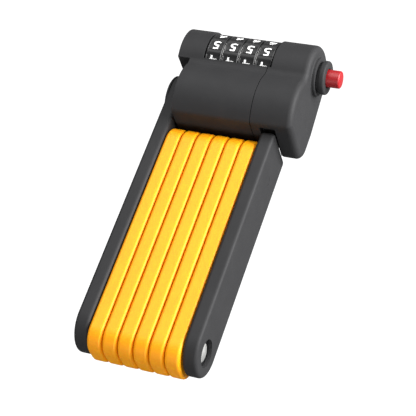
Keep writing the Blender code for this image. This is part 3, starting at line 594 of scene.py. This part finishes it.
# The half with the button's seat, and with the notch and slot that take the right bar's end.
def rightCasing():
    low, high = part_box("right_casing")
    face, seamSpare, wall, lining = high.x - headShape["boss"], low.x - 5 * mm, headShape["wall"], barNotch["lining"]
    barLow, barHigh, bar = boxOf("right_bar_cover")
    spot = (dialAxis.y, dialAxis.z)
    casing = slab("rightCasing", headOutline(), seamSpare, face)
    roundRim(casing, face, headShape["rightRound"], 8)
    combine(casing, turn("boss", bossProfile(face), spot, 72), "UNION")
    combine(casing, slab("seam", boxPoints(-beyond, -beyond, beyond, beyond), low.x - 20 * mm, low.x))
    notchHalf = (barHigh.x - barLow.x) / 2 + barNotch["side"]
    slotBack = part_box("right_bar_core")[1].y + tongueSlot["gap"]
    rooms = [
        (headFront + barNotch["depth"], barMiddle + barNotch["height"], notchHalf),
        (slotBack, barMiddle + tongueSlot["height"], tongueSlot["half"] + barNotch["side"]),
    ]
    front = headFront - 5 * mm
    hollow = slab("hollow", headOutline(wall), seamSpare, face - wall)
    for back, top, half in rooms:
        block = boxPoints(front, -5 * mm, back + lining, top + lining)
        combine(hollow, slab("lining", block, bar.x - half - lining, bar.x + half + lining))
    combine(casing, hollow)
    for back, top, half in rooms:
        combine(casing, slab("notch", boxPoints(front, -5 * mm, back, top), bar.x - half, bar.x + half))
    cutDialRoom(casing)
    combine(casing, slab("bore", roundPoints(spot, collarSeat["bore"], 64), face - 4 * mm, high.x + past))
    finishPiece(casing, "head", mouldedAbs, "black_plastic", "right_casing")


leftCasing()
rightCasing()
print("lock head casings made")


# Button and its collar

collarShape = dict(
    bore=4.25 * mm, chamfer=0.25 * mm, outside=7.6 * mm, soft=0.9 * mm, dish=1.3 * mm, height=2.4 * mm,
    spigot=6.5 * mm, spring=5.6 * mm, shelf=1.75 * mm,
)
buttonShape = dict(
    radius=3.95 * mm, soft=0.75 * mm, flange=5.3 * mm, flangeHeight=1.2 * mm, hole=2.65 * mm, holeDepth=3.2 * mm,
    crown=[(0, 0), (0.03, 1.2), (0.14, 2.4), (0.28, 3.2)],  # mm down from the top, at each radius
)


# The collar round the button: a rounded ring over a spigot that sits in the casing.
def buttonCollar():
    low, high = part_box("button_collar")
    shape = collarShape
    bore, outside, soft, spring = shape["bore"], shape["outside"], shape["soft"], shape["spring"]
    step = high.x - shape["height"]
    profile = [(high.x - shape["chamfer"], bore), (high.x, bore + shape["chamfer"]), (high.x, outside - shape["dish"])]
    profile += softCorner(high.x, outside, soft, (15, 30, 45, 60, 75, 90))
    profile += [(step + 0.35 * mm, outside), (step + 0.1 * mm, outside - 0.1 * mm), (step, outside - 0.35 * mm)]
    profile += [(step, shape["spigot"]), (low.x, shape["spigot"]), (low.x, spring)]
    profile += [(step - shape["shelf"], spring), (step - shape["shelf"], bore)]
    collar = turn("buttonCollar", profile, (dialAxis.y, dialAxis.z), 80, closed=True)
    finishPiece(collar, "head", mouldedAbs, "black_plastic", "button_collar")


# The button: a crowned stem with a flange that keeps it in the collar.
def pushButton():
    low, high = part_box("push_button")
    shape = buttonShape
    radius, hole, holeEnd = shape["radius"], shape["hole"], low.x + shape["holeDepth"]
    flange, flangeFace = shape["flange"], low.x + shape["flangeHeight"]
    profile = [(high.x - drop * mm, reach * mm) for drop, reach in shape["crown"]]
    profile += softCorner(profile[-1][0], radius, shape["soft"], (20, 40, 60, 80, 90))
    profile += [(flangeFace, radius), (flangeFace, flange), (low.x, flange)]
    profile += [(low.x, hole), (holeEnd, hole), (holeEnd, 0)]
    button = turn("pushButton", profile, (dialAxis.y, dialAxis.z), 64)
    finishPiece(button, "button", polishedRedAbs, "red_plastic", "push_button")


buttonCollar()
pushButton()
print("button and collar made")


# Number dials

dialShape = dict(
    steps=120, radius=12.9 * mm, bore=6.7 * mm, lip=0.45 * mm, soft=0.35 * mm,
    seatDepth=0.5 * mm, seatHalf=11.5, seatEdge=3.0, spacing=36,  # a numeral's seat, in degrees round the dial
    firstDigit=5, firstAngle=85.0,  # the numeral in the window, and where it stands
)
digitShape = dict(height=4.6 * mm, capShare=0.72, wide=1.2, paint=0.06 * mm, fat=0.045 * mm, bends=9)
edgeRing = dict(inside=11.2 * mm, outside=12.05 * mm, soft=0.1 * mm, start=0.03 * mm, end=0.33 * mm)


# A dial with ten shallow seats for its numerals.
def dialRing(name, node):
    low, high, middle = boxOf(node)
    shape = dialShape
    outer, soft, spacing = shape["radius"], shape["soft"], shape["spacing"]
    across = [low.x, low.x + 0.05 * mm, low.x + soft, low.x + shape["lip"], low.x + shape["lip"] + 0.25 * mm]
    across += [middle.x + (middle.x - x) for x in reversed(across)]
    profile = [(low.x, shape["bore"])]
    for x in across:
        edge = min(x - low.x, high.x - x)
        profile.append((x, outer - max(0, soft - edge) * (0.9 if edge > 0 else 1.4)))
    profile.append((high.x, shape["bore"]))
    ring = turn(name, profile, (dialAxis.y, dialAxis.z), shape["steps"], closed=True)
    for vertex in ring.data.vertices:
        dy, dz = vertex.co.y - dialAxis.y, vertex.co.z - dialAxis.z
        reach = math.hypot(dy, dz)
        edge = min(vertex.co.x - low.x, high.x - vertex.co.x)
        if reach < outer - 0.1 * mm or edge < shape["lip"] + 0.2 * mm:
            continue
        angle = math.degrees(math.atan2(dz, dy)) - shape["firstAngle"]
        aside = abs((angle + spacing / 2) % spacing - spacing / 2)
        share = min(1, max(0, (shape["seatHalf"] + shape["seatEdge"] - aside) / shape["seatEdge"]))
        scale = 1 - shape["seatDepth"] * share * share * (3 - 2 * share) / reach
        vertex.co.y, vertex.co.z = dialAxis.y + dy * scale, dialAxis.z + dz * scale
    return ring


# One numeral, flat and thick as its paint, with cuts across it so that it can bend round the dial.
def digitMesh(digit):
    bpy.ops.object.select_all(action="DESELECT")
    bpy.ops.object.text_add()
    text = bpy.context.object
    text.data.body = str(digit)
    text.data.size = digitShape["height"] / digitShape["capShare"]
    text.data.offset = digitShape["fat"]
    text.data.extrude = digitShape["paint"]
    text.data.resolution_u = 5
    bpy.ops.object.convert(target="MESH")
    glyph = bpy.context.object
    xs, ys = [v.co.x for v in glyph.data.vertices], [v.co.y for v in glyph.data.vertices]
    middle, foot, head = (min(xs) + max(xs)) / 2, min(ys), max(ys)
    for vertex in glyph.data.vertices:
        vertex.co.x = (vertex.co.x - middle) * digitShape["wide"]
        vertex.co.y -= (foot + head) / 2
    bpy.ops.object.mode_set(mode="EDIT")
    bpy.ops.mesh.select_all(action="SELECT")
    bpy.ops.mesh.remove_doubles(threshold=1e-6)
    for step in range(1, digitShape["bends"]):
        cut = (head - foot) * (step / digitShape["bends"] - 0.5)
        bpy.ops.mesh.select_all(action="SELECT")
        bpy.ops.mesh.bisect(plane_co=(0, cut, 0), plane_no=(0, 1, 0))
    bpy.ops.mesh.select_all(action="SELECT")
    bpy.ops.mesh.quads_convert_to_tris()
    bpy.ops.object.mode_set(mode="OBJECT")
    return glyph


# Ten numerals round one dial, their feet towards the back of the lock, joined as one piece.
def dialDigits(name, node):
    middle = boxOf(node)[2]
    face = dialShape["radius"] - dialShape["seatDepth"]
    glyphs = []
    for digit in range(10):
        glyph = digitMesh(digit)
        centre = math.radians(dialShape["firstAngle"] - dialShape["spacing"] * (digit - dialShape["firstDigit"]))
        for vertex in glyph.data.vertices:
            across, up, out = vertex.co
            angle, reach = centre + up / face, face + out
            vertex.co = (middle.x - across, dialAxis.y + reach * math.cos(angle), dialAxis.z + reach * math.sin(angle))
        glyphs.append(glyph)
    bpy.ops.object.select_all(action="DESELECT")
    for glyph in glyphs:
        glyph.select_set(True)
    bpy.context.view_layer.objects.active = glyphs[0]
    bpy.ops.object.join()
    digits = bpy.context.object
    digits.name = digits.data.name = name
    return digits


# The thin steel washer that shows in the gap to the right of a dial.
def steelEdge(name, node):
    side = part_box(node)[1].x
    inside, outside, soft = edgeRing["inside"], edgeRing["outside"], edgeRing["soft"]
    start, end, bevel = side + edgeRing["start"], side + edgeRing["end"], 0.07 * mm
    profile = [(start, inside), (start, outside - soft), (start + bevel, outside)]
    profile += [(end - bevel, outside), (end, outside - soft), (end, inside)]
    return turn(name, profile, (dialAxis.y, dialAxis.z), 96, closed=True)


def dials():
    pitch = boxOf("dial_2")[2].x - boxOf("dial_1")[2].x
    ring, digits = dialRing("ring", "dial_1"), dialDigits("digits", "dial_1")
    edge = steelEdge("edge", "dial_1")
    for number in range(1, 5):
        shift = (pitch * (number - 1), 0, 0)
        body = f"dial_{number}"
        finishPiece(copyPiece(ring, f"number_dial_{number}", shift), body, acetalDial, "dial_plastic", body)
        finishPiece(copyPiece(digits, f"dial_digits_{number}", shift), body, printingPaint, "dial_plastic")
        finishPiece(copyPiece(edge, f"dial_edge_{number}", shift), body, platedSteel, "bright_steel")
    for spare in (ring, digits, edge):
        bpy.data.objects.remove(spare)


dials()
print("number dials made")
